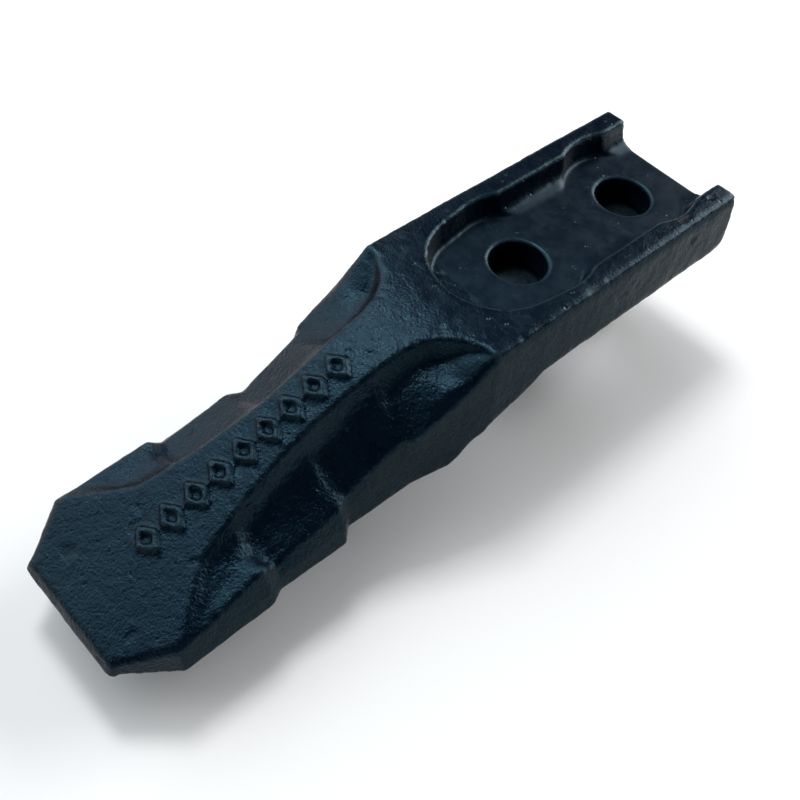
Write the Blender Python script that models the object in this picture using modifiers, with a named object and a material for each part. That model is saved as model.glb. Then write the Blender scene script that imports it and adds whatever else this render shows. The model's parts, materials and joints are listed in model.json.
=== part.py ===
"""Bolt-on excavator bucket tooth with its two studs, washers and nuts.

Lengths below are in millimetres. The seat that lies on the bucket lip is the plane z = 0, the tip
points towards -Y and +Z is up. While building, y = 0 is the front stud's axis. At the end all
is moved back by half the hole pitch, so the origin is midway between the two studs.
"""

import math

import bmesh
import bpy

MM = 0.001

# Hole pattern and fasteners (M16 in medium-fit holes)
HOLE_DIAMETER = 17.5
HOLE_PITCH = 48.0
STUD_DIAMETER = 16.0
STUD_TOP = 4.0
STUD_END = -35.0
STUD_CHAMFER = 1.2
HEX_ACROSS_FLATS = 24.0
NUT_HEIGHT = 14.8
NUT_BORE = 16.6
WASHER_OUTER = 30.0
WASHER_BORE = 17.0
WASHER_THICKNESS = 3.0
LIP_THICKNESS = 12.0
GAP = 0.3

# Shank: a channel with two side rails
SHANK_REAR = 68.5
SHANK_HEIGHT = 21.0
SHANK_HALF_WIDTH = 26.4
SIDE_DRAFT = math.tan(math.radians(5.0))
FLOOR_HEIGHT = 13.0
CHANNEL_HALF_WIDTH = 18.7
CHANNEL_FLOOR_HALF_WIDTH = 13.6
CHANNEL_WALL_DRAFT = 0.5
LOBE_RADIUS = 19.5
LOBE_DRAFT = 0.17
FRONT_LOBE_REACH = 11.0
FRONT_LOBE_NARROWING = 1.6
REAR_ROUNDING = 4.0

# Underside: the heel hooks over the bevelled edge of the lip
HEEL_PROFILE = ((-16.0, 0.0), (-21.0, -3.6), (-42.0, -10.4), (-48.5, -16.9))
UNDERSIDE_SLOPE = 0.022

# Wedge and tip
TIP_Y = -152.0
TIP_CREST_HEIGHT = -14.8
TIP_STRIP_HEIGHT = -17.6
RIB_SLOPE = 0.375
RIB_BLEND = 17.5
TIP_CORNER_Y = -138.5
TIP_FRONT_HALF_WIDTH = 19.0
TIP_FACE_LEAN = 0.34
RIB_HALF_WIDTH = 7.2
RIB_CROWN = 0.15
RIB_FLARE_START = -84.0
RIB_FAN_START = -122.0

# Rim of the scoops where they run out into the top plane, an ellipse in plan
RIM_Y = -37.0
RIM_CENTRE = (25.0, -57.0)
RIM_RADII = (17.0, 20.0)

# Each scoop, rear to front: where it starts, how deep its floor lies below the rib, its outer
# crest and the top of its side strip as (half width, height), and the half width of the
# underside. Each quantity is given at the scoop's rear end and at its front end.
SCOOPS = (
    dict(
        start=-37.0,
        drop=(1.4, 9.2),
        crest=((25.7, 20.5), (23.0, 12.3)),
        strip=((26.4, 19.0), (25.9, 10.8)),
        side=(28.2, 27.2),
    ),
    dict(
        start=-48.8,
        drop=(6.2, 7.4),
        crest=((22.8, 13.8), (22.2, 3.8)),
        strip=((25.9, 10.8), (24.4, 4.4)),
        side=(27.0, 23.6),
    ),
    dict(
        start=-65.5,
        drop=(4.6, 9.3),
        crest=((22.4, 4.6), (21.4, -5.8)),
        strip=((23.9, -3.6), (23.3, -9.2)),
        side=(24.4, 24.0),
    ),
    dict(
        start=-87.0,
        drop=(6.2, 7.0),
        crest=((23.8, -4.2), (23.8, -9.4)),
        strip=((26.7, -10.4), (26.2, -12.6)),
        side=(27.6, 26.9),
    ),
    dict(
        start=-112.0,
        drop=(3.8, 0.7),
        crest=((24.6, -5.4), (27.4, -11.3)),
        strip=((28.0, -13.0), (28.5, -16.4)),
        side=(29.3, 29.1),
    ),
)
LEDGE_RUN = 3.8
LEDGE_BOW = 2.0
FLOOR_SAG = 0.7
WALL_RUN = 2.0
WALL_DRAFT = 0.15
STATION_STEP = 2.4

# Raised wear marks along the rib
MARK_COUNT = 9
MARK_FIRST_Y = -128.5
MARK_PITCH = 7.45
MARK_LENGTH = 9.8
MARK_WIDTH = 6.6
MARK_STROKE = 1.8
MARK_HEIGHT = 1.3


def clear_scene():
    for old in list(bpy.data.objects):
        bpy.data.objects.remove(old, do_unlink=True)


def new_collection(name):
    collection = bpy.data.collections.new(name)
    bpy.context.scene.collection.children.link(collection)
    return collection


def new_material(name, colour, roughness, metallic):
    material = bpy.data.materials.new(name)
    material.use_nodes = True
    shader = material.node_tree.nodes["Principled BSDF"]
    shader.inputs["Base Color"].default_value = (*colour, 1.0)
    shader.inputs["Roughness"].default_value = roughness
    shader.inputs["Metallic"].default_value = metallic
    return material


def object_from(bm, name, collection, material=None):
    """Turns a bmesh in millimetres into an object in metres."""
    bmesh.ops.scale(bm, vec=(MM, MM, MM), verts=bm.verts)
    bmesh.ops.recalc_face_normals(bm, faces=bm.faces)
    mesh = bpy.data.meshes.new(name)
    bm.to_mesh(mesh)
    bm.free()
    made = bpy.data.objects.new(name, mesh)
    collection.objects.link(made)
    if material:
        mesh.materials.append(material)
        mesh.shade_smooth()
        mesh.set_sharp_from_angle(angle=math.radians(35.0))
    return made


def hide_cutter(cutter):
    cutter.hide_render = True
    cutter.display_type = "WIRE"


def cut(target, cutter, operation="DIFFERENCE"):
    hide_cutter(cutter)
    boolean = target.modifiers.new(cutter.name, "BOOLEAN")
    boolean.operation = operation
    boolean.object = cutter
    boolean.solver = "EXACT"


def mix(ends, share):
    return ends[0] + (ends[1] - ends[0]) * share


def smooth_step(low, high, value):
    share = min(1.0, max(0.0, (value - low) / (high - low)))
    return share * share * (3.0 - 2.0 * share)


def rib_height(y):
    """Top of the rib: the shank's top plane, a parabolic blend, then a straight slope."""
    knee = TIP_Y + (SHANK_HEIGHT - TIP_CREST_HEIGHT) / RIB_SLOPE
    ahead = knee + RIB_BLEND - y
    if ahead <= 0.0:
        return SHANK_HEIGHT
    if ahead >= 2.0 * RIB_BLEND:
        return TIP_CREST_HEIGHT + RIB_SLOPE * (y - TIP_Y)
    return SHANK_HEIGHT - RIB_SLOPE * ahead * ahead / (4.0 * RIB_BLEND)


def rib_half_width(y):
    """Half width of the rib: the elliptic rim, a narrow waist, then a flare to the tip."""
    if y > RIM_CENTRE[1]:
        rise = min(1.0, (y - RIM_CENTRE[1]) / RIM_RADII[1])
        return RIM_CENTRE[0] - RIM_RADII[0] * math.sqrt(1.0 - rise * rise)
    waist = RIM_CENTRE[0] - RIM_RADII[0]
    narrow = mix((waist, RIB_HALF_WIDTH), smooth_step(-RIM_CENTRE[1], 74.0, -y))
    flare = 0.023 * max(0.0, RIB_FLARE_START - y) ** 1.53
    fan = 0.55 * max(0.0, RIB_FAN_START - y)
    return narrow + flare + fan


def underside_height(y):
    if y >= HEEL_PROFILE[0][0]:
        return 0.0
    for (y_rear, z_rear), (y_front, z_front) in zip(HEEL_PROFILE, HEEL_PROFILE[1:]):
        if y >= y_front:
            return mix((z_rear, z_front), (y_rear - y) / (y_rear - y_front))
    y_last, z_last = HEEL_PROFILE[-1]
    return z_last + UNDERSIDE_SLOPE * (y - y_last)


def scoop_ends(y):
    """The scoop that holds y and how far along it y lies, from 0 at its rear to 1."""
    ends = [scoop["start"] for scoop in SCOOPS[1:]] + [TIP_CORNER_Y]
    for scoop, end in zip(SCOOPS, ends):
        if y > end:
            return scoop, max(0.0, (scoop["start"] - y) / (scoop["start"] - end))
    return SCOOPS[-1], 1.0


def scoop_value(read, y):
    """A quantity of the scoops at y. At a ledge it climbs to the scoop ahead over a short run."""
    scoop, share = scoop_ends(y)
    value = mix(read(scoop), share)
    for ahead in SCOOPS[1:]:
        past = y - ahead["start"]
        if 0.0 < past < LEDGE_RUN:
            behind, reached = scoop_ends(ahead["start"] + LEDGE_RUN)
            value = mix((mix(read(behind), reached), read(ahead)[0]), 1.0 - past / LEDGE_RUN)
    return value


def scoop_point(key, y):
    """Half width and height of a scoop's crest or strip at y."""
    across = scoop_value(lambda scoop: [end[0] for end in scoop[key]], y)
    height = scoop_value(lambda scoop: [end[1] for end in scoop[key]], y)
    return across, height


def shank_corners(y):
    """Half section of the shank, from the top middle to the bottom middle."""
    bottom = underside_height(y)

    def side(z):
        return SHANK_HALF_WIDTH + SIDE_DRAFT * (SHANK_HEIGHT - max(z, 0.0))

    lift = 0.0
    if y > SHANK_REAR - REAR_ROUNDING:
        past = (y - SHANK_REAR + REAR_ROUNDING) / REAR_ROUNDING
        lift = REAR_ROUNDING * (1.0 - math.sqrt(max(0.0, 1.0 - past * past)))
    return (
        (0.0, SHANK_HEIGHT, 0.0),
        (SHANK_HALF_WIDTH - 1.6, SHANK_HEIGHT, 0.6),
        (SHANK_HALF_WIDTH - 1.2, SHANK_HEIGHT - 0.1, 0.2),
        (SHANK_HALF_WIDTH - 0.8, SHANK_HEIGHT - 0.3, 0.2),
        (SHANK_HALF_WIDTH - 0.3, SHANK_HEIGHT - 0.9, 0.4),
        (side(18.6), 18.6, 0.8),
        (side(bottom + lift), bottom + lift, 3.2),
        (0.0, bottom + lift, 0.0),
    )


def wedge_corners(y):
    """Half section of the wedge, from the rib's middle to the underside's middle."""
    top = rib_height(y)
    bottom = underside_height(y)
    rib = rib_half_width(y)
    crown = RIB_CROWN * smooth_step(-RIM_Y, -RIM_CENTRE[1], -y)
    drop = scoop_value(lambda scoop: scoop["drop"], y)
    drop_middle = scoop_value(lambda scoop: scoop["drop"], y + LEDGE_BOW)
    crest_x, crest = scoop_point("crest", y)
    crest_middle = scoop_point("crest", y + LEDGE_BOW)[1]
    strip_x, strip = scoop_point("strip", y)
    side = scoop_value(lambda scoop: scoop["side"], y)
    foot_x = min(rib + WALL_RUN + WALL_DRAFT * drop, crest_x - 1.2)
    rib = min(rib, foot_x - 0.6)
    middle_x = 0.5 * (foot_x + crest_x)
    middle = 0.5 * (top - drop_middle + crest_middle)
    sag = FLOOR_SAG * smooth_step(1.5, 6.0, crest_x - foot_x)
    if y < TIP_CORNER_Y:
        narrow = (TIP_CORNER_Y - y) / (TIP_CORNER_Y - TIP_Y)
        shrink = mix((side, TIP_FRONT_HALF_WIDTH), narrow) / side
        crest_x, middle_x, foot_x, strip_x, side, rib = (
            value * shrink for value in (crest_x, middle_x, foot_x, strip_x, side, rib)
        )
        crest = mix((crest, TIP_CREST_HEIGHT - 0.5), narrow)
        strip = mix((strip, TIP_STRIP_HEIGHT), narrow)
        middle = 0.5 * (top - drop + crest)
    return (
        (0.0, top, 0.0),
        (rib, top - crown, 0.6),
        (foot_x, top - drop, 2.6),
        (middle_x, middle - sag, 3.0),
        (crest_x, crest, 0.9),
        (strip_x, strip, 0.9),
        (side, bottom, 1.8),
        (0.0, bottom, 0.0),
    )


def rounded_chain(corners, segments=(2, 4, 2, 2, 2, 3)):
    """Points along a chain of corners, each rounded by a curve of the given setback."""
    points = [corners[0][:2]]
    for before, corner, after, steps in zip(corners, corners[1:], corners[2:], segments):
        legs = []
        for other in (before, after):
            dx, dz = other[0] - corner[0], other[1] - corner[1]
            length = math.hypot(dx, dz)
            reach = min(corner[2], 0.42 * length) / length
            legs.append((corner[0] + dx * reach, corner[1] + dz * reach))
        (ax, az), (bx, bz) = legs
        for step in range(steps + 1):
            t = step / steps
            wa, wc, wb = (1.0 - t) ** 2, 2.0 * t * (1.0 - t), t * t
            points.append(
                (wa * ax + wc * corner[0] + wb * bx, wa * az + wc * corner[1] + wb * bz)
            )
    points.append(corners[-1][:2])
    return points


def section(y):
    corners = shank_corners(y) if y >= RIM_Y else wedge_corners(y)
    return rounded_chain(corners)


def stations():
    """Where the loft has a section, from the tip to the rear end."""
    found = {TIP_Y, TIP_CORNER_Y, TIP_CORNER_Y - 3.0, TIP_Y + 1.5, TIP_Y + 5.0}
    for scoop in SCOOPS[1:]:
        found.update(scoop["start"] + LEDGE_RUN * share for share in (-0.667, 0.0, 0.333, 0.667, 1.0))
    y = TIP_CORNER_Y + STATION_STEP
    while y < RIM_Y - 0.5:
        if min(abs(y - known) for known in found) > 0.45 * STATION_STEP:
            found.add(y)
        y += STATION_STEP
    found.update((RIM_Y - 0.35, RIM_Y - 1.0, RIM_Y + 0.001, -30.0))
    found.update(y for y, _ in HEEL_PROFILE[:2])
    found.update((0.5 * HOLE_PITCH, SHANK_REAR - REAR_ROUNDING))
    for step in (0.5, 0.8, 0.95, 1.0):
        found.add(SHANK_REAR - REAR_ROUNDING * (1.0 - step))
    return sorted(found)


def loft(sections, lean=0.0):
    """A closed body through half sections that all have the same number of points.

    The first section leans: a point lies further out the further it is below the top.
    """
    bm = bmesh.new()
    rings = []
    for y, half in sections:
        depth = lean if not rings else 0.0
        outline = [(x, y - depth * (half[0][1] - z), z) for x, z in half]
        ring = [bm.verts.new(point) for point in outline]
        ring += [bm.verts.new((-x, y_point, z)) for x, y_point, z in reversed(outline[1:-1])]
        rings.append(ring)
    for first, second in zip(rings, rings[1:]):
        for i, vert in enumerate(first):
            following = (i + 1) % len(first)
            bm.faces.new((vert, first[following], second[following], second[i]))
    bm.faces.new(rings[0])
    bm.faces.new(rings[-1])
    return bm


def channel_cutter(collection):
    """The channel between the rails: drafted walls with a wide fillet to the floor."""
    top = SHANK_HEIGHT + 4.0
    wall_foot = FLOOR_HEIGHT + 5.0
    corners = (
        (0.0, top, 0.0),
        (CHANNEL_HALF_WIDTH + 0.8, top, 0.0),
        (CHANNEL_HALF_WIDTH - CHANNEL_WALL_DRAFT, wall_foot, 1.0),
        (CHANNEL_HALF_WIDTH - 1.6, FLOOR_HEIGHT + 1.4, 2.6),
        (CHANNEL_FLOOR_HALF_WIDTH, FLOOR_HEIGHT, 2.8),
        (0.0, FLOOR_HEIGHT, 0.0),
    )
    outline = rounded_chain(corners, segments=(1, 2, 4, 3))
    bm = loft([(-2.0, outline), (SHANK_REAR + 6.0, outline)])
    return object_from(bm, "cut_channel", collection)


def disc(bm, radius, y, z, segments=64):
    made = bmesh.ops.create_circle(bm, radius=radius, segments=segments)
    bmesh.ops.translate(bm, vec=(0.0, y, z), verts=made["verts"])


def lobe_cutter(name, collection, y, reach=0.0):
    """Round clearance about a hole, drafted, drawn out and narrowed towards the tip by reach."""
    bm = bmesh.new()
    height = 12.0
    ends = [(y, LOBE_RADIUS)]
    if reach:
        ends.append((y - reach, LOBE_RADIUS - FRONT_LOBE_NARROWING))
    for middle, radius in ends:
        disc(bm, radius, middle, FLOOR_HEIGHT)
        disc(bm, radius + LOBE_DRAFT * height, middle, FLOOR_HEIGHT + height)
    hull = bmesh.ops.convex_hull(bm, input=bm.verts)
    inside = hull["geom_interior"] + hull["geom_unused"]
    unused = [item for item in inside if isinstance(item, bmesh.types.BMVert)]
    bmesh.ops.delete(bm, geom=unused, context="VERTS")
    return object_from(bm, name, collection)


def cylinder(bm, radius, z_low, z_high, segments=48, y=0.0):
    made = bmesh.ops.create_cone(
        bm,
        cap_ends=True,
        segments=segments,
        radius1=radius,
        radius2=radius,
        depth=z_high - z_low,
    )
    bmesh.ops.translate(bm, vec=(0.0, y, 0.5 * (z_low + z_high)), verts=made["verts"])
    return made["verts"]


def hole_cutter(name, collection, y):
    bm = bmesh.new()
    cylinder(bm, 0.5 * HOLE_DIAMETER, -30.0, 40.0, segments=64, y=y)
    return object_from(bm, name, collection)


def lozenge(bm, half_length, half_width, low, high):
    made = bmesh.ops.create_cone(
        bm, cap_ends=True, segments=4, radius1=1.0, radius2=1.0, depth=high - low
    )
    bmesh.ops.scale(bm, vec=(half_length, half_width, 1.0), verts=made["verts"])
    bmesh.ops.translate(bm, vec=(0.0, 0.0, 0.5 * (low + high)), verts=made["verts"])


def wear_mark(name, collection, y):
    """A raised lozenge ring that lies on the rib and is sunk into it."""
    bm = bmesh.new()
    lozenge(bm, 0.5 * MARK_LENGTH, 0.5 * MARK_WIDTH, -1.2, MARK_HEIGHT)
    mark = object_from(bm, name, collection)
    bm = bmesh.new()
    opening_length = 0.5 * MARK_LENGTH - 1.25 * MARK_STROKE
    opening_width = 0.5 * MARK_WIDTH - 0.86 * MARK_STROKE
    lozenge(bm, opening_length, opening_width, -3.0, 3.0)
    opening = object_from(bm, name + "_opening", collection)
    cut(mark, opening)
    slope = (rib_height(y + 1.0) - rib_height(y - 1.0)) / 2.0
    opening.parent = mark
    mark.location = (0.0, y * MM, rib_height(y) * MM)
    mark.rotation_euler = (math.atan(slope), 0.0, 0.0)
    return mark


def build_tooth(parts, cutters, paint):
    body = loft([(y, section(y)) for y in stations()], lean=TIP_FACE_LEAN)
    tooth = object_from(body, "tooth", parts, paint)
    cut(tooth, channel_cutter(cutters))
    cut(tooth, lobe_cutter("cut_front_lobe", cutters, 0.0, FRONT_LOBE_REACH))
    cut(tooth, lobe_cutter("cut_rear_lobe", cutters, HOLE_PITCH))
    cut(tooth, hole_cutter("cut_front_hole", cutters, 0.0))
    cut(tooth, hole_cutter("cut_rear_hole", cutters, HOLE_PITCH))
    for index in range(MARK_COUNT):
        mark = wear_mark(f"mark_{index + 1}", cutters, MARK_FIRST_Y + index * MARK_PITCH)
        cut(tooth, mark, "UNION")
    return tooth


def hexagon(bm, z_low, z_high):
    corner_radius = 0.5 * HEX_ACROSS_FLATS / math.cos(math.pi / 6.0)
    return cylinder(bm, corner_radius, z_low, z_high, segments=6)


def turned_profile(name, collection, profile, material=None, segments=48):
    """A body turned about z. The profile runs down its outer side, top to bottom."""
    bm = bmesh.new()
    verts = [bm.verts.new((radius, 0.0, z)) for radius, z in profile]
    for first, second in zip(verts, verts[1:]):
        bm.edges.new((first, second))
    closed = profile[0][0] > 0.0
    if closed:
        bm.edges.new((verts[-1], verts[0]))
    made = object_from(bm, name, collection, material)
    screw = made.modifiers.new("turn", "SCREW")
    screw.steps = segments
    screw.render_steps = segments
    screw.use_merge_vertices = True
    screw.merge_threshold = 0.00005
    screw.use_smooth_shade = True
    return made


def hex_envelope(name, collection, z_low, z_high):
    """A turned envelope that takes the corners off both ends of a hexagon."""
    face_radius = 0.475 * HEX_ACROSS_FLATS
    wide = 0.62 * HEX_ACROSS_FLATS
    fall = (wide - face_radius) * math.tan(math.radians(30.0))
    profile = [
        (0.0, z_high),
        (face_radius, z_high),
        (wide, z_high - fall),
        (wide, z_low + fall),
        (face_radius, z_low),
        (0.0, z_low),
    ]
    return turned_profile(name, collection, profile)


def build_stud(name, parts, steel, y):
    """A stud whose collar fills the hole's lower end. Its thread stands down through the lip."""
    collar = 0.5 * HOLE_DIAMETER - GAP
    radius = 0.5 * STUD_DIAMETER
    profile = [
        (0.0, STUD_TOP),
        (collar - 0.5, STUD_TOP),
        (collar, STUD_TOP - 0.5),
        (collar, GAP + 0.5),
        (radius, GAP),
        (radius, STUD_END + STUD_CHAMFER),
        (radius - STUD_CHAMFER, STUD_END),
        (0.0, STUD_END),
    ]
    stud = turned_profile(name, parts, profile, steel)
    stud.location.y = y * MM
    return stud


def build_washer(name, parts, steel, y):
    top = -LIP_THICKNESS - GAP
    low = top - WASHER_THICKNESS
    outer, bore, edge = 0.5 * WASHER_OUTER, 0.5 * WASHER_BORE, 0.4
    washer = turned_profile(
        name,
        parts,
        [(bore, top), (outer - edge, top), (outer, top - edge), (outer, low + edge),
         (outer - edge, low), (bore, low)],
        steel,
    )
    washer.location.y = y * MM
    return washer


def build_nut(name, parts, cutters, steel, y):
    top = -LIP_THICKNESS - WASHER_THICKNESS - 2.0 * GAP
    low = top - NUT_HEIGHT
    bm = bmesh.new()
    hexagon(bm, low, top)
    nut = object_from(bm, name, parts, steel)
    nut.location.y = y * MM
    envelope = hex_envelope(name + "_envelope", cutters, low, top)
    envelope.location.y = y * MM
    cut(nut, envelope, "INTERSECT")
    countersink = 0.5 * NUT_BORE + 0.9
    bore = turned_profile(
        name + "_bore",
        cutters,
        [
            (0.0, top + 1.0),
            (countersink + 1.0, top + 1.0),
            (0.5 * NUT_BORE, top - 0.9),
            (0.5 * NUT_BORE, low + 0.9),
            (countersink + 1.0, low - 1.0),
            (0.0, low - 1.0),
        ],
    )
    bore.location.y = y * MM
    cut(nut, bore)
    return nut


def main():
    clear_scene()
    parts = new_collection("bucket_tooth")
    cutters = new_collection("cutters")
    paint = new_material("blue_black_paint", (0.012, 0.030, 0.045), 0.42, 0.0)
    stud_steel = new_material("black_stud_steel", (0.020, 0.021, 0.022), 0.45, 0.8)
    washer_steel = new_material("hardened_washer_steel", (0.060, 0.058, 0.055), 0.40, 0.9)
    nut_steel = new_material("phosphated_nut_steel", (0.030, 0.031, 0.032), 0.50, 0.8)
    build_tooth(parts, cutters, paint)
    for place, y in (("front", 0.0), ("rear", HOLE_PITCH)):
        build_stud(f"{place}_stud", parts, stud_steel, y)
        build_washer(f"{place}_washer", parts, washer_steel, y)
        build_nut(f"{place}_nut", parts, cutters, nut_steel, y)
    for made in bpy.data.objects:
        if made.parent is None:
            made.location.y -= 0.5 * HOLE_PITCH * MM


main()
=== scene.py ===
"""Looks of the bolt-on excavator bucket tooth: forged skin, paint, fixings, camera and light.

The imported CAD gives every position. Lengths written below are in millimetres, and colours are
linear red, green and blue.
"""

import json
import math

import bmesh
import bpy
import numpy as np
from mathutils import Matrix, Vector, noise


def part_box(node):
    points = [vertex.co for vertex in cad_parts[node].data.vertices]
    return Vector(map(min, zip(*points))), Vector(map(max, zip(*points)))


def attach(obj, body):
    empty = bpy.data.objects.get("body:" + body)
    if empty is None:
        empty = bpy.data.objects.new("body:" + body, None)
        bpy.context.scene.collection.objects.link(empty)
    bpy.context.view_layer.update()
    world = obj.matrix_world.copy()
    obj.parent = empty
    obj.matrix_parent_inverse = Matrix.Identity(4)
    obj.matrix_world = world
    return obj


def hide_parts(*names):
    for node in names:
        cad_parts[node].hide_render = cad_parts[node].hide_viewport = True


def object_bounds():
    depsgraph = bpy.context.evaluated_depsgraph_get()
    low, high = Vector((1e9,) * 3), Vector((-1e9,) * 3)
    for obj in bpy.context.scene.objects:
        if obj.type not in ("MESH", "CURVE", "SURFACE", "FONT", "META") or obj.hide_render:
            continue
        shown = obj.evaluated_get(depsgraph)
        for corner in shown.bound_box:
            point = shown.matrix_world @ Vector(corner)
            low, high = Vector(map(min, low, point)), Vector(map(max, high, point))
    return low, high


MM = 0.001

# Mesh of the tooth's skin
SKIN_VOXEL = 0.66
SKIN_SMOOTHING = 3
SKIN_MARGIN = 0.25
WELD_DISTANCE = 0.0001
CURVATURE_ROUNDS = 3

# Relief of the skin: height, size of the features, seed and octaves
WAVES = (0.14, 17.0, 1, 2)
LUMPS = (0.10, 4.2, 2, 3)
GRAIN = (0.055, 1.7, 3, 2)
PIT_PATTERN = (1.0, 6.0, 4, 2)
PIT_RANGE = (0.52, 0.80)
PIT_DEPTH = 0.28

# Knocks in the skin: centre, size along x, y and z, and depth
CHIPS = (
    ((22.4, 22.5, 21.0), (1.0, 2.6, 1.2), 0.30),
    ((21.6, 37.0, 21.0), (0.7, 1.3, 1.0), 0.22),
    ((-10.5, -50.0, 20.0), (1.8, 0.7, 2.0), 0.28),
    ((-14.5, -47.0, 20.0), (0.9, 1.2, 2.0), 0.22),
    ((-6.0, -53.5, 19.0), (0.7, 0.9, 2.0), 0.20),
    ((25.0, -22.0, 20.6), (0.8, 2.0, 1.0), 0.20),
)
CHIP_REACH = 1.6
CHIP_RAGGEDNESS = (0.9, 1.4, 5, 2)

# Where each zone of the skin starts and is complete
POCKET_FRONT = -45.0
POCKET_HALF_WIDTH = 21.0
FROM_POCKET_FLOOR = (2.5, 0.8)
FROM_BORE_AXIS = (10.6, 9.4)
FROM_SEAT = (1.5, 0.5)
TOP_ALONG_Y = (-50.0, -30.0)
TOP_FACING = (0.80, 0.95)
WEDGE_ALONG_Y = (-58.0, -70.0)
TIP_ALONG_Y = (-128.0, -150.0)
SIDE_FACING = (0.75, 0.95)
SIDE_ALONG_X = (20.0, 22.0)

# How much each zone calms the relief
FLOOR_CALM = 0.75
SEAT_CALM = 0.6
TOP_CALM = 0.55
MOST_CALM = 0.9

# How rough the fine grain is, and what each zone adds
SHANK_GRAIN = 0.34
WEDGE_GRAIN = 0.50
TIP_GRAIN = 0.10
SIDE_GRAIN = 0.22
FLOOR_GRAIN_LOSS = 0.8

# Thread of the M16 studs and nuts. The root and flank are shares of half a turn
THREAD_PITCH = 2.0
ROWS_PER_TURN = 10.0
THREAD_ROOT = 0.14
THREAD_FLANK = 0.68
STUD_CREST = 7.95
STUD_THREAD_DEPTH = 1.2
STUD_THREAD_TOP = -0.7
STUD_CHAMFER = 1.6
STUD_RUNOUT = 2.0
NUT_ROOT = 8.75
NUT_THREAD_DEPTH = 0.62

# Collar and neck of each stud, inside the hole
COLLAR_EASE = 0.6
COLLAR_FOOT = 0.3
NECK_RADIUS = 7.9
NECK_FOOT = -1.2

# Hexagon and countersinks of each nut
HEX_ACROSS_FLATS = 24.0
HEX_EDGE_EASE = 0.5
HEX_FACE_SHARE = 0.475
HEX_CONE_ANGLE = math.radians(30.0)
SINK_RADII = (10.2, 8.2)

WASHER_BORE_RADIUS = 8.5
WASHER_UPPER_EASE = 0.55
WASHER_LOWER_EASE = 0.25

# Paint of the tooth
PAINT_DEEP = (0.0006, 0.0028, 0.0078)
PAINT_PALE = (0.0011, 0.0042, 0.0105)
PAINT_MOTTLE = (0.0024, 0.0078, 0.0145)
# Lighter on proud edges: worn paint and a painted highlight along rims and ledge lips
PAINT_EDGE_WEAR_AND_HIGHLIGHT = (0.016, 0.034, 0.043)
# Painted shade: darker in hollows and creases
PAINTED_HOLLOW_SHADE = (0.0012, 0.0045, 0.0085)
# Painted reflection: a lighter colour on the side faces, in place of the floor that they reflect
PAINTED_SIDE_REFLECTION = (0.0085, 0.0230, 0.0300)
PAINT_REFLECTION = (0.30, 0.72, 1.0)
OXIDE = (0.034, 0.026, 0.018)
GRIT = (0.10, 0.125, 0.135)

# Steel of the fixings: name, base colour, worn colour, roughness, and size of the turning marks
STEELS = {
    "stud": ("black_stud_steel", (0.010, 0.020, 0.027), (0.030, 0.042, 0.048), 0.46, 0.6),
    "washer": ("washer_steel", (0.075, 0.073, 0.068), (0.20, 0.195, 0.18), 0.36, 0.35),
    "nut": ("nut_steel", (0.032, 0.034, 0.035), (0.11, 0.11, 0.105), 0.44, 0.6),
}
RUST = (0.070, 0.034, 0.018)

# Camera, fitted to the straight edges and hole rims of the shank
CAMERA_AZIMUTH = math.radians(40.52)
CAMERA_ELEVATION = math.radians(51.39)
CAMERA_ROLL = math.radians(8.81)
CAMERA_DISTANCE = 263.8
CAMERA_AIM = Vector((0.0, -99.55, 13.0))
CAMERA_SHIFT_RIGHT = 21.39
CAMERA_LENS = 46.6
CAMERA_SENSOR = 36.0
CAMERA_NEAR = 10.0

# Floor: space under the object, half its width, and how far out it turns into the backdrop
FLOOR_GAP = 0.3
FLOOR_HALF_WIDTH = 3000.0
FLOOR_FADE = (250.0, 600.0)
FLOOR_COLOUR = (0.88, 0.88, 0.88)

# Lights: direction from the object, distance, width, and power in watts
LIGHTS = {
    "key": ((-0.40, 0.14, 0.90), 1000.0, 240.0, 4.5),
    "fill": ((0.12, 0.88, 0.38), 1500.0, 1050.0, 24.0),
}
LIGHT_AIM = Vector((0.0, -66.0, 0.0))

# Brightness of the surround against the cosine of the angle to a direction: the direction, the
# cosines between which the brightness changes, and the brightness at each
SURROUND = (
    ((0.0, 0.0, 1.0), 0.05, 0.36, 0.55, 0.03),
    ((-0.75, -0.15, 0.64), 0.67, 0.90, 0.0, 2.2),
)
SURROUND_COLOUR = (0.92, 0.97, 1.0)
BACKDROP_COLOUR = (1.0, 1.0, 1.0)

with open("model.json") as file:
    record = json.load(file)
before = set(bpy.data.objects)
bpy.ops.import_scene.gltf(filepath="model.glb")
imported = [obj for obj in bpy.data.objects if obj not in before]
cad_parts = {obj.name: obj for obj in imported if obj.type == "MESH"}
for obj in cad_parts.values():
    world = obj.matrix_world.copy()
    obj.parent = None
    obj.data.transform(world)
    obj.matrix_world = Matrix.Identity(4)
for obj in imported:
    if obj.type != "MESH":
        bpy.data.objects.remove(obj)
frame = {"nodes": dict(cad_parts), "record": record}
rest_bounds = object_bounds()
mounts = {mount["name"]: mount for mount in frame["record"]["mounts"]}
pocket_floor_z = mounts["pocket_floor"]["pos_m"][2] / MM
seat_z = mounts["lip_seat"]["pos_m"][2] / MM
hole_y = 0.5 * (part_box("rear_stud")[0].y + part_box("rear_stud")[1].y) / MM


# ---------------------------------------------------------------- meshes


def box_of(node):
    return [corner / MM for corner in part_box(node)]


def link(data, name):
    made = bpy.data.objects.new(name, data)
    bpy.context.scene.collection.objects.link(made)
    return made


def object_from(bm, name):
    """Turns a bmesh in millimetres into an object in metres."""
    bmesh.ops.scale(bm, vec=(MM, MM, MM), verts=bm.verts)
    bmesh.ops.recalc_face_normals(bm, faces=bm.faces)
    mesh = bpy.data.meshes.new(name)
    bm.to_mesh(mesh)
    bm.free()
    return link(mesh, name)


def apply_modifiers(made):
    graph = bpy.context.evaluated_depsgraph_get()
    mesh = bpy.data.meshes.new_from_object(made.evaluated_get(graph))
    made.modifiers.clear()
    made.data = mesh


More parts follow.
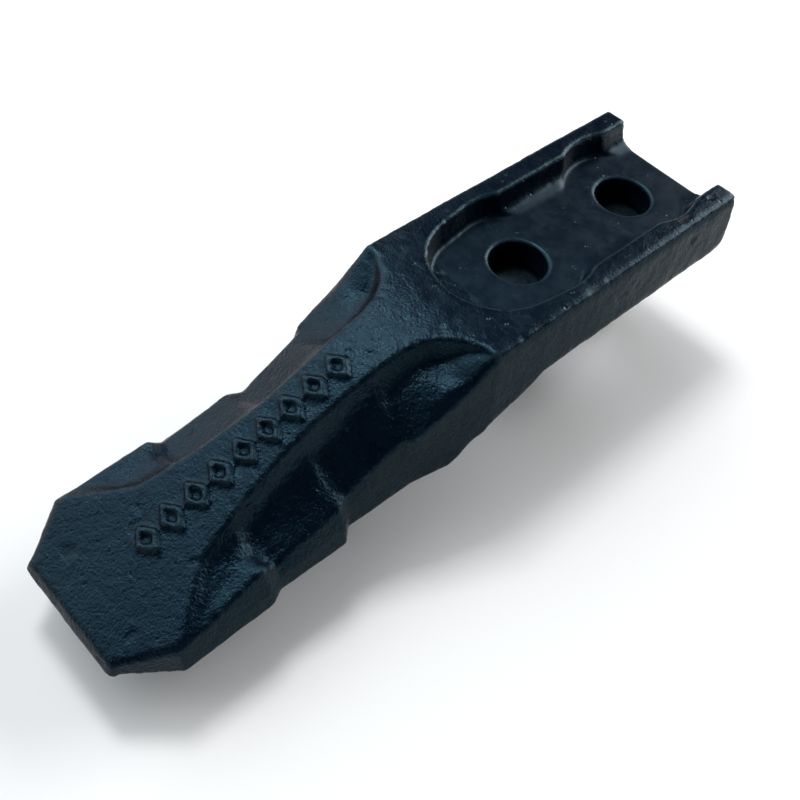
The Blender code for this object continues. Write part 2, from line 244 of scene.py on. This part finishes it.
def boolean(target, other, operation="DIFFERENCE"):
    """Changes the target by the other object, which is then removed."""
    modifier = target.modifiers.new(other.name, "BOOLEAN")
    modifier.operation = operation
    modifier.object = other
    modifier.solver = "EXACT"
    apply_modifiers(target)
    bpy.data.objects.remove(other, do_unlink=True)


def points_of(mesh):
    points = np.empty(len(mesh.vertices) * 3, np.float32)
    mesh.vertices.foreach_get("co", points)
    return points.reshape(-1, 3) / MM


def normals_of(mesh):
    normals = np.empty(len(mesh.vertices) * 3, np.float32)
    mesh.vertices.foreach_get("normal", normals)
    return normals.reshape(-1, 3)


def noise_at(points, layer):
    """Fractal noise at each point. A layer is height, size of the features, seed and octaves."""
    height, size, seed, octaves = layer
    shift = Vector((seed * 17.3, seed * 5.1, seed * 11.9))
    values = [
        noise.fractal(Vector(p) / size + shift, 1.0, 2.0, octaves) for p in points.tolist()
    ]
    return height * np.array(values, np.float32)


def ramp(low, high, values):
    """A smooth step from 0 at low to 1 at high, where low may be the larger."""
    share = np.clip((values - low) / (high - low), 0.0, 1.0)
    return share * share * (3.0 - 2.0 * share)


def set_attribute(mesh, name, values):
    attribute = mesh.attributes.new(name, "FLOAT", "POINT")
    attribute.data.foreach_set("value", np.asarray(values, np.float32))


def curvature_of(mesh, points, normals):
    """How far each point stands proud of its neighbours, in mm, evened out a little."""
    edges = np.empty(len(mesh.edges) * 2, np.int32)
    mesh.edges.foreach_get("vertices", edges)
    a, b = edges.reshape(-1, 2).T
    count = np.bincount(a, minlength=len(points)) + np.bincount(b, minlength=len(points))
    count = np.maximum(count, 1)

    def half_evened(values):
        total = np.zeros_like(values, dtype=np.float64)
        np.add.at(total, a, values[b])
        np.add.at(total, b, values[a])
        mean = total / (count[:, None] if values.ndim == 2 else count)
        return 0.5 * values + 0.5 * mean

    even = points.astype(np.float64)
    for _ in range(CURVATURE_ROUNDS):
        even = half_evened(even)
    proud = ((points - even) * normals).sum(axis=1)
    for _ in range(CURVATURE_ROUNDS - 1):
        proud = half_evened(proud)
    return proud


# ---------------------------------------------------------------- the tooth


def fine_copy(node, name):
    """The CAD node as a fine, even, slightly softened mesh."""
    bm = bmesh.new()
    bm.from_mesh(frame["nodes"][node].data)
    bmesh.ops.remove_doubles(bm, verts=bm.verts, dist=WELD_DISTANCE * MM)
    mesh = bpy.data.meshes.new(name)
    bm.to_mesh(mesh)
    bm.free()
    made = link(mesh, name)
    remesh = made.modifiers.new("remesh", "REMESH")
    remesh.mode = "VOXEL"
    remesh.voxel_size = SKIN_VOXEL * MM
    remesh.use_smooth_shade = True
    smooth = made.modifiers.new("soften", "SMOOTH")
    smooth.factor = 0.5
    smooth.iterations = SKIN_SMOOTHING
    apply_modifiers(made)
    return made


def tooth_skin():
    """The tooth with the relief of a forging, and the zones that its paint follows."""
    skin = fine_copy("tooth", "tooth_skin")
    mesh = skin.data
    points, normals = points_of(mesh), normals_of(mesh)
    x, y, z = points.T
    from_hole = np.hypot(x, np.minimum(np.abs(y - hole_y), np.abs(y + hole_y)))
    in_pocket = (y > POCKET_FRONT) * (np.abs(x) < POCKET_HALF_WIDTH)
    floor_zone = ramp(*FROM_POCKET_FLOOR, np.abs(z - pocket_floor_z)) * in_pocket
    bore_zone = ramp(*FROM_BORE_AXIS, from_hole)
    seat_zone = ramp(*FROM_SEAT, np.abs(z - seat_z)) * (normals[:, 2] < -0.5)
    top_zone = ramp(*TOP_ALONG_Y, y) * ramp(*TOP_FACING, normals[:, 2])
    calm = floor_zone * FLOOR_CALM + bore_zone + seat_zone * SEAT_CALM
    calm = np.clip(calm, 0.0, MOST_CALM)

    relief = noise_at(points, WAVES) + noise_at(points, LUMPS) + noise_at(points, GRAIN)
    relief -= PIT_DEPTH * ramp(*PIT_RANGE, noise_at(points, PIT_PATTERN))
    relief = relief * (1.0 - calm) * (1.0 - TOP_CALM * top_zone)
    chip_edge = CHIP_REACH + noise_at(points, CHIP_RAGGEDNESS)
    chip = np.zeros_like(relief)
    for centre, size, depth in CHIPS:
        from_chip = np.linalg.norm((points - np.array(centre)) / np.array(size), axis=1)
        chip = np.maximum(chip, ramp(chip_edge, 0.55 * chip_edge, from_chip))
        relief -= depth * ramp(chip_edge, 0.3 * chip_edge, from_chip)
    low, high = (np.array(corner) for corner in box_of("tooth"))
    moved = np.clip(points + normals * relief[:, None], low - SKIN_MARGIN, high + SKIN_MARGIN)
    mesh.vertices.foreach_set("co", (moved * MM).astype(np.float32).ravel())
    mesh.update()

    # Side faces: a rougher grain, and the zone of the painted reflection in the paint
    side_grain_and_painted_reflection_zone = ramp(*SIDE_FACING, np.abs(normals[:, 0])) * ramp(*SIDE_ALONG_X, np.abs(x))
    rough = SHANK_GRAIN + WEDGE_GRAIN * ramp(*WEDGE_ALONG_Y, y)
    rough = rough + TIP_GRAIN * ramp(*TIP_ALONG_Y, y) + SIDE_GRAIN * side_grain_and_painted_reflection_zone
    rough = np.clip(rough * (1.0 - FLOOR_GRAIN_LOSS * floor_zone), 0.0, 1.0)
    set_attribute(mesh, "proud", curvature_of(mesh, points_of(mesh), normals_of(mesh)))
    set_attribute(mesh, "rough", rough)
    set_attribute(mesh, "floor_zone", floor_zone)
    set_attribute(mesh, "chip", chip)
    set_attribute(mesh, "side", side_grain_and_painted_reflection_zone)
    return skin


# ---------------------------------------------------------------- fixings


def turned(name, profile, segments=96):
    """A body turned about z from (radius, height) points that run down its outer side."""
    bm = bmesh.new()
    rings = []
    for radius, height in profile:
        if radius < 1e-6:
            rings.append([bm.verts.new((0.0, 0.0, height))])
            continue
        angles = [math.tau * i / segments for i in range(segments)]
        rings.append(
            [bm.verts.new((radius * math.cos(a), radius * math.sin(a), height)) for a in angles]
        )
    pairs = list(zip(rings, rings[1:]))
    if len(rings[0]) > 1:
        pairs.append((rings[-1], rings[0]))
    for upper, lower in pairs:
        for i in range(segments):
            j = (i + 1) % segments
            corners = [upper[i % len(upper)], upper[j % len(upper)]]
            corners += [lower[j % len(lower)], lower[i % len(lower)]]
            bm.faces.new(list(dict.fromkeys(corners)))
    return object_from(bm, name)


def thread_radius(turns, crest, depth):
    """Radius of a rounded V thread at a place counted in turns."""
    share = turns - math.floor(turns)
    rise = 1.0 - abs(2.0 * share - 1.0)
    height = min(1.0, max(0.0, (rise - THREAD_ROOT) / THREAD_FLANK))
    return crest - depth * (1.0 - height)


def threaded_rod(name, crest, depth, z_low, z_high, chamfer=0.0, runout=0.0, segments=64):
    """A rod with a right-hand thread. It narrows at its low end and runs out at its high end."""
    bm = bmesh.new()
    rings = []
    rows = int((z_high - z_low) / (THREAD_PITCH / ROWS_PER_TURN))
    for row in range(rows + 1):
        z = z_low + (z_high - z_low) * row / rows
        fade = min(1.0, (z_high - z) / runout) if runout else 1.0
        limit = crest - max(0.0, chamfer - (z - z_low))
        ring = []
        for i in range(segments):
            angle = math.tau * i / segments
            radius = thread_radius(z / THREAD_PITCH - i / segments, crest, depth * fade)
            radius = min(radius, limit)
            ring.append(bm.verts.new((radius * math.cos(angle), radius * math.sin(angle), z)))
        rings.append(ring)
    for lower, upper in zip(rings, rings[1:]):
        for i in range(segments):
            j = (i + 1) % segments
            bm.faces.new((lower[i], lower[j], upper[j], upper[i]))
    bm.faces.new(rings[0])
    bm.faces.new(rings[-1])
    return object_from(bm, name)


def hexagon(name, z_low, z_high):
    """A hexagon whose corners are taken off by a cone, with lightly broken edges."""
    corner = 0.5 * HEX_ACROSS_FLATS / math.cos(math.pi / 6.0)
    bm = bmesh.new()
    made = bmesh.ops.create_cone(
        bm, cap_ends=True, segments=6, radius1=corner, radius2=corner, depth=z_high - z_low
    )
    bmesh.ops.translate(bm, vec=(0.0, 0.0, 0.5 * (z_low + z_high)), verts=made["verts"])
    upright = [e for e in bm.edges if abs(e.verts[0].co.z - e.verts[1].co.z) > 1.0]
    bmesh.ops.bevel(
        bm, geom=upright, offset=HEX_EDGE_EASE, segments=3, profile=0.5, affect="EDGES"
    )
    body = object_from(bm, name)
    face = HEX_FACE_SHARE * HEX_ACROSS_FLATS
    wide = corner + 1.0
    fall = (wide - face) * math.tan(HEX_CONE_ANGLE)
    upper = [(0.0, z_high), (face - 0.3, z_high)]
    upper += [(face + 0.15, z_high - 0.15), (wide, z_high - fall)]
    lower = [(radius, z_low + z_high - height) for radius, height in reversed(upper)]
    boolean(body, turned(name + "_cone", upper + lower), "INTERSECT")
    return body


def upper_rim(radius, z, ease, steps):
    """Points of a rounded rim, from the top face out and down to the side."""
    angles = [0.5 * math.pi * step / steps for step in range(steps + 1)]
    return [(radius - ease + ease * math.sin(a), z - ease + ease * math.cos(a)) for a in angles]


def lower_rim(radius, z, ease, steps):
    """Points of a rounded rim, from the side down and in to the bottom face."""
    angles = [0.5 * math.pi * step / steps for step in range(steps + 1)]
    return [(radius - ease + ease * math.cos(a), z + ease - ease * math.sin(a)) for a in angles]


def stand_at(body, node, sharp_angle=32.0):
    """Puts a turned body on its node's axis, and shades it smooth up to an angle in degrees."""
    low, high = box_of(node)
    body.location.y = 0.5 * (low.y + high.y) * MM
    body.data.shade_smooth()
    body.data.set_sharp_from_angle(angle=math.radians(sharp_angle))
    return body


def stud(node):
    """Collar in the hole, a short neck, and the thread down through the lip."""
    low, high = box_of(node)
    collar = 0.5 * (high.x - low.x)
    profile = [(0.0, high.z), (collar - COLLAR_EASE, high.z)]
    profile += [(collar - 0.2, high.z - 0.2), (collar, high.z - COLLAR_EASE)]
    profile += [(collar, COLLAR_FOOT + COLLAR_EASE), (collar - 0.5, COLLAR_FOOT)]
    profile += [(NECK_RADIUS, COLLAR_FOOT), (NECK_RADIUS, 0.5 * NECK_FOOT)]
    profile += [(7.0, NECK_FOOT), (0.0, NECK_FOOT)]
    body = turned(node + "_body", profile)
    rod = threaded_rod(
        node + "_rod",
        STUD_CREST,
        STUD_THREAD_DEPTH,
        low.z,
        STUD_THREAD_TOP,
        chamfer=STUD_CHAMFER,
        runout=STUD_RUNOUT,
    )
    boolean(body, rod, "UNION")
    return stand_at(body, node)


def nut(node):
    """Hexagon with a threaded bore, countersunk at both ends."""
    low, high = box_of(node)
    body = hexagon(node + "_body", low.z, high.z)
    core = threaded_rod(node + "_core", NUT_ROOT, NUT_THREAD_DEPTH, low.z - 0.5, high.z + 0.5)
    boolean(body, core)
    wide, narrow = SINK_RADII
    for z_face, side in ((high.z, 1.0), (low.z, -1.0)):
        outside, inside = z_face + side, z_face - side
        profile = [(0.0, outside), (wide, outside), (narrow, inside), (0.0, inside)]
        boolean(body, turned(node + "_sink", profile if side > 0.0 else profile[::-1]))
    return stand_at(body, node)


def washer(node):
    """Flat ring with rounded rims."""
    low, high = box_of(node)
    outer = 0.5 * (high.x - low.x)
    bore = WASHER_BORE_RADIUS
    profile = [(bore + 0.3, high.z)]
    profile += upper_rim(outer, high.z, WASHER_UPPER_EASE, 4)
    profile += lower_rim(outer, low.z, WASHER_LOWER_EASE, 2)
    profile += [(bore + 0.25, low.z), (bore, low.z + 0.25), (bore, high.z - 0.3)]
    return stand_at(turned(node + "_body", profile, segments=128), node, 30.0)


# ---------------------------------------------------------------- materials


def colour(rgb):
    return (*rgb, 1.0)


class Nodes:
    """Short names for adding and joining the shader nodes of a material or a world."""

    def __init__(self, owner):
        owner.use_nodes = True
        self.owner = owner
        self.tree = owner.node_tree
        self.coordinates = self.add("ShaderNodeTexCoord")
        self.place = self.add("ShaderNodeMapping")
        self.place.inputs["Scale"].default_value = (1.0 / MM,) * 3
        self.join(self.coordinates.outputs["Object"], self.place.inputs["Vector"])

    def add(self, kind, **settings):
        made = self.tree.nodes.new(kind)
        for key, value in settings.items():
            setattr(made, key, value)
        return made

    def join(self, value, socket):
        """Links an output to the socket, or gives the socket a number or a tuple."""
        if isinstance(value, (int, float, tuple)):
            socket.default_value = value
        else:
            self.tree.links.new(value, socket)

    def set(self, name, value):
        self.join(value, self.tree.nodes["Principled BSDF"].inputs[name])

    def attribute(self, name):
        return self.add("ShaderNodeAttribute", attribute_name=name).outputs["Fac"]

    def camera_ray(self):
        return self.add("ShaderNodeLightPath").outputs["Is Camera Ray"]

    def noise(self, size, detail=3.0, roughness=0.5, stretch=None):
        made = self.add("ShaderNodeTexNoise")
        made.inputs["Scale"].default_value = 1.0 / size
        made.inputs["Detail"].default_value = detail
        made.inputs["Roughness"].default_value = roughness
        source = self.place.outputs["Vector"]
        if stretch:
            scaled = self.add("ShaderNodeMapping")
            scaled.inputs["Scale"].default_value = stretch
            self.join(source, scaled.inputs["Vector"])
            source = scaled.outputs["Vector"]
        self.join(source, made.inputs["Vector"])
        return made.outputs["Fac"]

    def cells(self, size):
        made = self.add("ShaderNodeTexVoronoi")
        made.inputs["Scale"].default_value = 1.0 / size
        self.join(self.place.outputs["Vector"], made.inputs["Vector"])
        return made.outputs["Distance"]

    def span(self, value, low, high, to_low=0.0, to_high=1.0):
        """A smooth step between two input values."""
        made = self.add("ShaderNodeMapRange", interpolation_type="SMOOTHSTEP")
        self.join(value, made.inputs["Value"])
        made.inputs["From Min"].default_value = low
        made.inputs["From Max"].default_value = high
        made.inputs["To Min"].default_value = to_low
        made.inputs["To Max"].default_value = to_high
        return made.outputs["Result"]

    def math(self, operation, first, second, clamp=False):
        made = self.add("ShaderNodeMath", operation=operation, use_clamp=clamp)
        self.join(first, made.inputs[0])
        self.join(second, made.inputs[1])
        return made.outputs["Value"]

    def times(self, first, second):
        return self.math("MULTIPLY", first, second)

    def blend(self, share, first, second, data_type="RGBA"):
        made = self.add("ShaderNodeMix", data_type=data_type)
        self.join(share, made.inputs["Factor"])
        self.join(first, made.inputs["A"])
        self.join(second, made.inputs["B"])
        return made.outputs["Result"]

    def cover(self, base, share, most, rgb):
        """Lays a colour over the base, by at most the given amount."""
        return self.blend(self.times(share, most), base, colour(rgb))

    def bump(self, height, distance, strength, normal=None):
        made = self.add("ShaderNodeBump")
        made.inputs["Distance"].default_value = distance * MM
        self.join(strength, made.inputs["Strength"])
        self.join(height, made.inputs["Height"])
        if normal:
            self.join(normal, made.inputs["Normal"])
        return made.outputs["Normal"]


def paint_material():
    """Blue-black paint over a forged skin, worn at its edges, with chips, grit and pits, and
    painted light: highlights on proud edges, shade in hollows and a reflection on the side faces.
    """
    n = Nodes(bpy.data.materials.new("blue_black_paint"))
    rough_zone = n.attribute("rough")
    proud = n.attribute("proud")
    side = n.attribute("side")

    patches = n.span(n.noise(14.0, 4.0, 0.6), 0.35, 0.68)
    base = n.blend(patches, colour(PAINT_DEEP), colour(PAINT_PALE))
    mottled = n.span(n.noise(2.6, 4.0, 0.6), 0.42, 0.75)
    base = n.cover(base, mottled, 0.35, PAINT_MOTTLE)

    # Proud edges lighter: thin, worn paint and a painted highlight along rims and ledge lips.
    # Hollows darker: painted shade
    worn_and_highlit_edge = n.math("ADD", n.times(proud, 9.0), n.times(n.noise(1.1, 5.0, 0.7), 0.55))
    base = n.cover(base, n.span(worn_and_highlit_edge, 0.62, 1.05), 0.45, PAINT_EDGE_WEAR_AND_HIGHLIGHT)
    # Painted shade in hollows, where the surface curves inwards
    painted_hollow_shade = n.span(n.times(proud, -8.0), 0.10, 0.60)
    base = n.cover(base, painted_hollow_shade, 0.6, PAINTED_HOLLOW_SHADE)

    # Small chips down to brown oxide, and pale specks of grit in the paint
    chip_patch = n.span(n.noise(11.0, 2.0, 0.5), 0.64, 0.72)
    small_chip = n.times(n.span(n.cells(2.6), 0.16, 0.10), chip_patch)
    knock = n.times(n.attribute("chip"), n.span(n.noise(0.8, 4.0, 0.7), 0.42, 0.62))
    chip = n.math("MAXIMUM", small_chip, knock)
    base = n.cover(base, chip, 0.55, OXIDE)
    speck_patch = n.span(n.noise(9.0, 3.0, 0.6), 0.46, 0.66)
    speck = n.times(n.span(n.cells(1.35), 0.16, 0.08), speck_patch)
    base = n.cover(base, speck, 0.5, GRIT)
    # Painted reflection: the side faces are lightened, and their specular is lowered below, in
    # place of the floor's reflection
    base = n.cover(base, side, 0.7, PAINTED_SIDE_REFLECTION)
    n.set("Base Color", base)

    gloss = n.span(n.noise(5.0, 4.0, 0.65), 0.3, 0.75, 0.20, 0.34)
    gloss = n.math("ADD", gloss, n.times(n.attribute("floor_zone"), 0.10))
    n.set("Roughness", n.math("ADD", gloss, n.times(chip, 0.25), clamp=True))
    facing = n.add("ShaderNodeLayerWeight").outputs["Facing"]
    gleam = n.span(facing, 0.25, 0.60, 0.24, 0.09)
    n.set("Specular IOR Level", n.times(gleam, n.span(side, 0.0, 1.0, 1.0, 0.30)))
    n.set("Specular Tint", colour(PAINT_REFLECTION))

    strength = n.times(rough_zone, 0.9)
    grain_bump = n.bump(n.noise(0.75, 3.0, 0.6), 0.24, strength)
    skin_bump = n.bump(n.noise(1.5, 3.0, 0.55), 0.20, strength, grain_bump)
    pits = n.span(n.cells(4.4), 0.16, 0.03)
    n.set("Normal", n.bump(n.math("SUBTRACT", 0.0, pits), 0.22, 0.6, skin_bump))
    return n.owner


def steel_material(name, base, worn, roughness, mark_size):
    """Dark treated steel with fine turning marks, worn patches and faint rust."""
    n = Nodes(bpy.data.materials.new(name))
    stain = n.span(n.noise(5.0, 4.0, 0.6), 0.38, 0.70)
    stained = tuple(1.7 * channel for channel in base)
    shade = n.blend(stain, colour(base), colour(stained))
    shade = n.cover(shade, n.span(n.noise(1.2, 5.0, 0.7), 0.60, 0.76), 0.5, worn)
    rust = n.times(n.span(n.noise(3.0, 5.0, 0.7), 0.62, 0.74), 0.35)
    n.set("Base Color", n.blend(rust, shade, colour(RUST)))
    n.set("Metallic", n.math("SUBTRACT", 0.85, rust))
    smear = n.noise(2.0, 4.0, 0.6)
    n.set("Roughness", n.span(smear, 0.3, 0.7, roughness - 0.07, roughness + 0.12))
    turning_marks = n.noise(mark_size, 2.0, 0.5, stretch=(0.35, 0.35, 3.0))
    mark_bump = n.bump(turning_marks, 0.05, 0.6)
    n.set("Normal", n.bump(n.noise(0.5, 3.0, 0.6), 0.07, 0.7, mark_bump))
    return n.owner


def floor_material():
    """Plain and pale. It turns into the backdrop with distance, so no horizon shows."""
    n = Nodes(bpy.data.materials.new("pale_floor"))
    n.set("Base Color", colour(FLOOR_COLOUR))
    n.set("Roughness", 0.9)
    n.set("Specular IOR Level", 0.0)
    away = n.add("ShaderNodeVectorMath", operation="LENGTH")
    n.join(n.place.outputs["Vector"], away.inputs[0])
    far = n.span(away.outputs["Value"], *FLOOR_FADE)
    white = n.add("ShaderNodeEmission")
    both = n.add("ShaderNodeMixShader")
    n.join(n.times(far, n.camera_ray()), both.inputs["Fac"])
    n.join(n.tree.nodes["Principled BSDF"].outputs["BSDF"], both.inputs[1])
    n.join(white.outputs["Emission"], both.inputs[2])
    n.join(both.outputs["Shader"], n.tree.nodes["Material Output"].inputs["Surface"])
    return n.owner


# ---------------------------------------------------------------- the object


def add_piece(piece, material, node, body):
    piece.data.materials.clear()
    piece.data.materials.append(material)
    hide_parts(node)
    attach(piece, body)


add_piece(tooth_skin(), paint_material(), "tooth", "tooth")

steels = {kind: steel_material(*settings) for kind, settings in STEELS.items()}
makers = {"stud": stud, "washer": washer, "nut": nut}
nuts = []
for place in ("front", "rear"):
    for kind, make in makers.items():
        node = f"{place}_{kind}"
        piece = make(node)
        body = "tooth" if kind == "stud" else node
        add_piece(piece, steels[kind], node, body)
        if kind == "nut":
            nuts.append(piece)


# ---------------------------------------------------------------- stage


def camera():
    sin_a, cos_a = math.sin(CAMERA_AZIMUTH), math.cos(CAMERA_AZIMUTH)
    sin_e, cos_e = math.sin(CAMERA_ELEVATION), math.cos(CAMERA_ELEVATION)
    back = Vector((sin_a * cos_e, -cos_a * cos_e, sin_e))
    level_right = Vector((cos_a, sin_a, 0.0))
    level_up = back.cross(level_right)
    right = level_right * math.cos(CAMERA_ROLL) + level_up * math.sin(CAMERA_ROLL)
    up = back.cross(right)
    made = link(bpy.data.cameras.new("camera"), "camera")
    turn = Matrix((right, up, back)).transposed().to_4x4()
    aim = CAMERA_AIM + level_right * CAMERA_SHIFT_RIGHT
    made.matrix_world = Matrix.Translation((aim + back * CAMERA_DISTANCE) * MM) @ turn
    made.data.lens = CAMERA_LENS
    made.data.sensor_width = CAMERA_SENSOR
    made.data.clip_start = CAMERA_NEAR * MM
    bpy.context.scene.camera = made


def floor(lowest, pieces):
    """A floor under the lowest point at rest, which sinks as far as the lowest piece does."""
    bm = bmesh.new()
    bmesh.ops.create_grid(bm, x_segments=1, y_segments=1, size=FLOOR_HALF_WIDTH)
    bmesh.ops.translate(bm, vec=(0.0, 0.0, lowest - FLOOR_GAP), verts=bm.verts)
    made = object_from(bm, "floor")
    made.data.materials.append(floor_material())
    driver = made.driver_add("location", 2).driver
    driver.type = "MIN"
    for piece in pieces:
        variable = driver.variables.new()
        variable.type = "TRANSFORMS"
        variable.targets[0].id = piece
        variable.targets[0].transform_type = "LOC_Z"
        variable.targets[0].transform_space = "WORLD_SPACE"


def softbox(name, direction, distance, size, watts):
    """A square area light that faces the middle of the object."""
    back = Vector(direction).normalized()
    data = bpy.data.lights.new(name, "AREA")
    data.shape = "SQUARE"
    data.size = size * MM
    data.energy = watts
    turn = back.to_track_quat("Z", "Y").to_matrix().to_4x4()
    link(data, name).matrix_world = Matrix.Translation((LIGHT_AIM + back * distance) * MM) @ turn


def surround():
    """Bright at the horizon and over the left shoulder, dark elsewhere, so the paint stays dark."""
    world = bpy.data.worlds.new("studio")
    bpy.context.scene.world = world
    n = Nodes(world)
    brightest = 0.0
    for direction, low, high, at_low, at_high in SURROUND:
        facing = n.add("ShaderNodeVectorMath", operation="DOT_PRODUCT")
        n.join(n.coordinates.outputs["Generated"], facing.inputs[0])
        facing.inputs[1].default_value = Vector(direction).normalized()
        fall = n.span(facing.outputs["Value"], low, high, at_low, at_high)
        brightest = n.math("MAXIMUM", brightest, fall)
    # The camera itself sees a plain white backdrop
    seen = n.camera_ray()
    background = n.tree.nodes["Background"]
    n.join(n.blend(seen, brightest, 1.0, "FLOAT"), background.inputs["Strength"])
    tint = n.blend(seen, colour(SURROUND_COLOUR), colour(BACKDROP_COLOUR))
    n.join(tint, background.inputs["Color"])


camera()
floor(rest_bounds[0].z / MM, nuts)
surround()
for name, settings in LIGHTS.items():
    softbox(name, *settings)
bpy.context.scene.view_settings.view_transform = "Standard"
